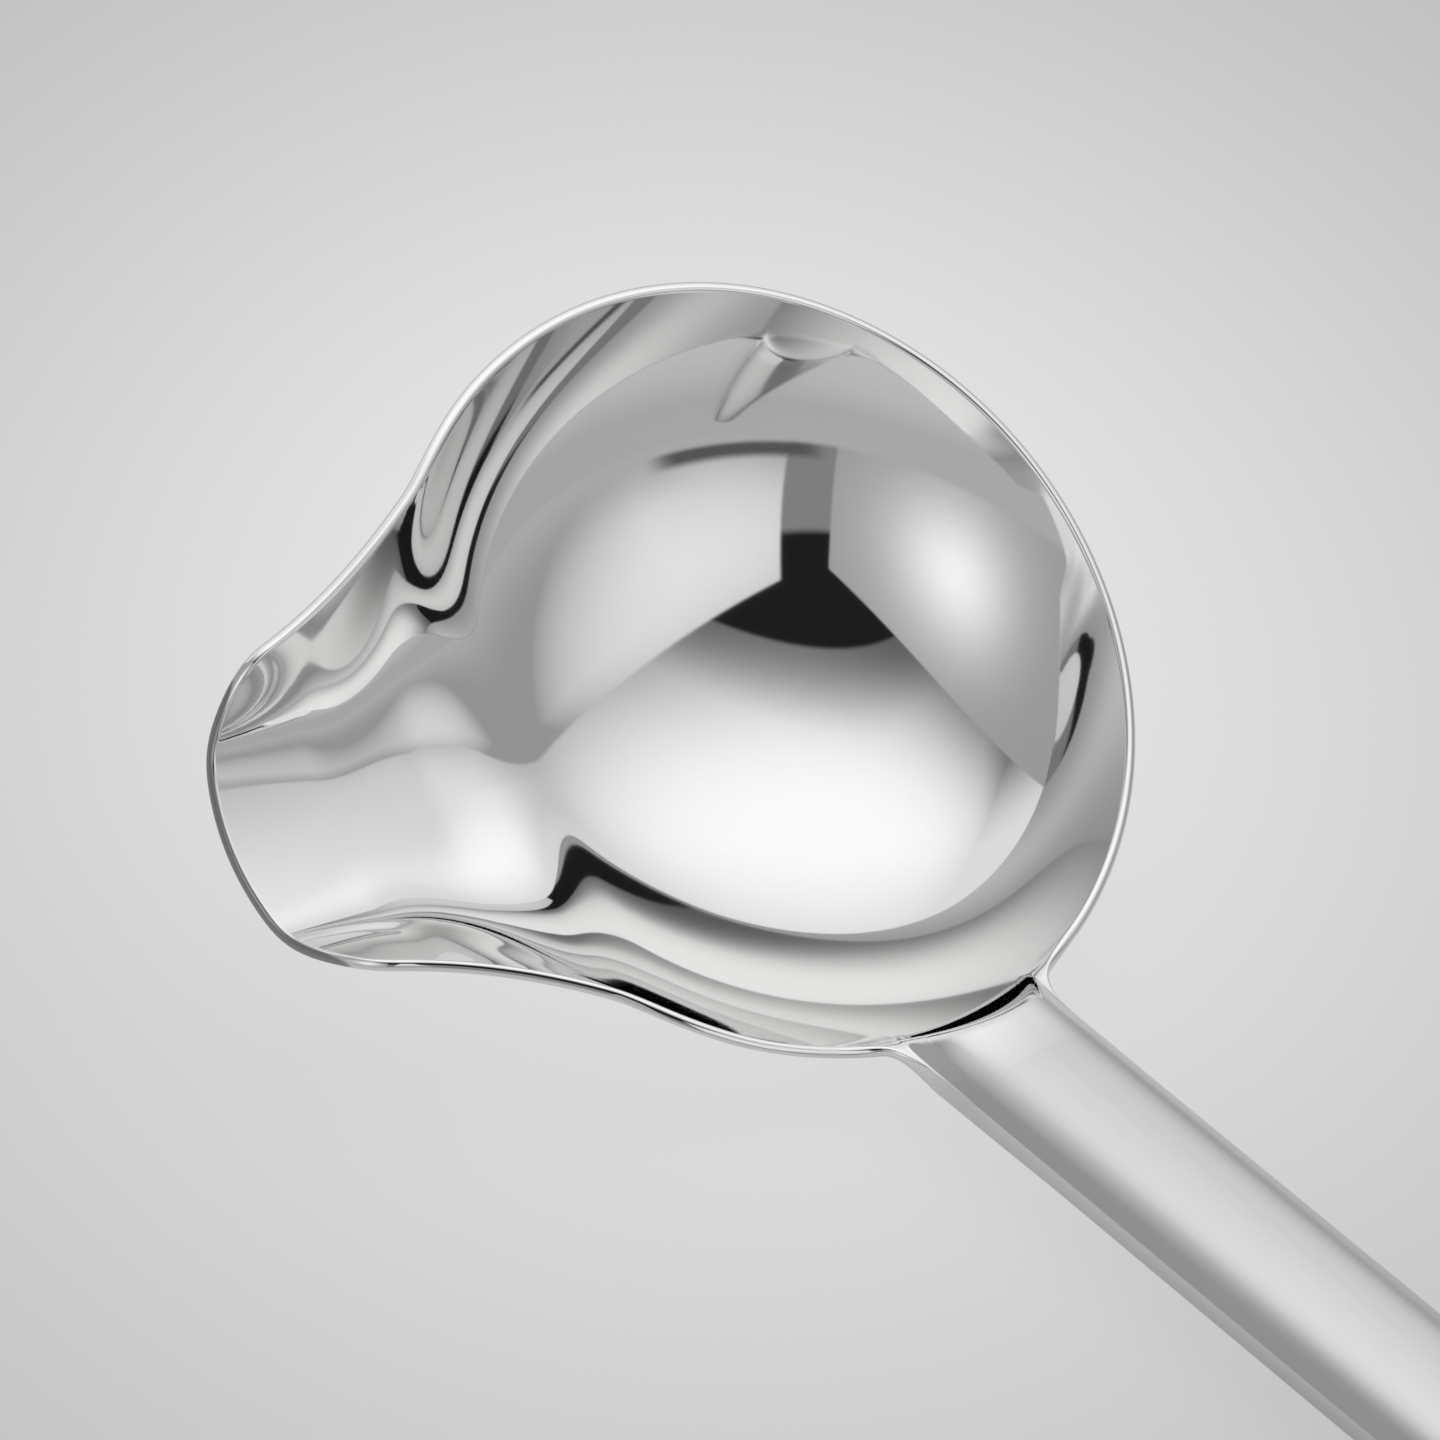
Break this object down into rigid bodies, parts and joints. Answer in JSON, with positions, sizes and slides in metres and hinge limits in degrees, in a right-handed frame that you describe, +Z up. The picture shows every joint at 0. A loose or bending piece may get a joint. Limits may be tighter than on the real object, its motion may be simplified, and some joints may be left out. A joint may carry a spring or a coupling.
{
  "type": "sauce ladle",
  "caption": "Polished steel sauce ladle with a round bowl, a wide pouring spout on one side and a straight hollow handle with a hanging eye.",
  "frame": {"origin": "centre of the footprint, on the table that the ladle lies on", "axes": "+X along the handle from the bowl to the hanging end, -Y toward the spout, +Z up"},
  "size_m": [0.258, 0.0852, 0.0474],
  "materials": {
    "polished_steel": "mirror polished stainless steel",
    "satin_steel": "finely satin stainless steel, brushed along the handle"
  },
  "bodies": {
    "root": {"bowl": "polished_steel", "handle_upper_shell": "satin_steel", "handle_back_plate": "satin_steel", "hanging_end": "satin_steel"}
  },
  "joints": []
}
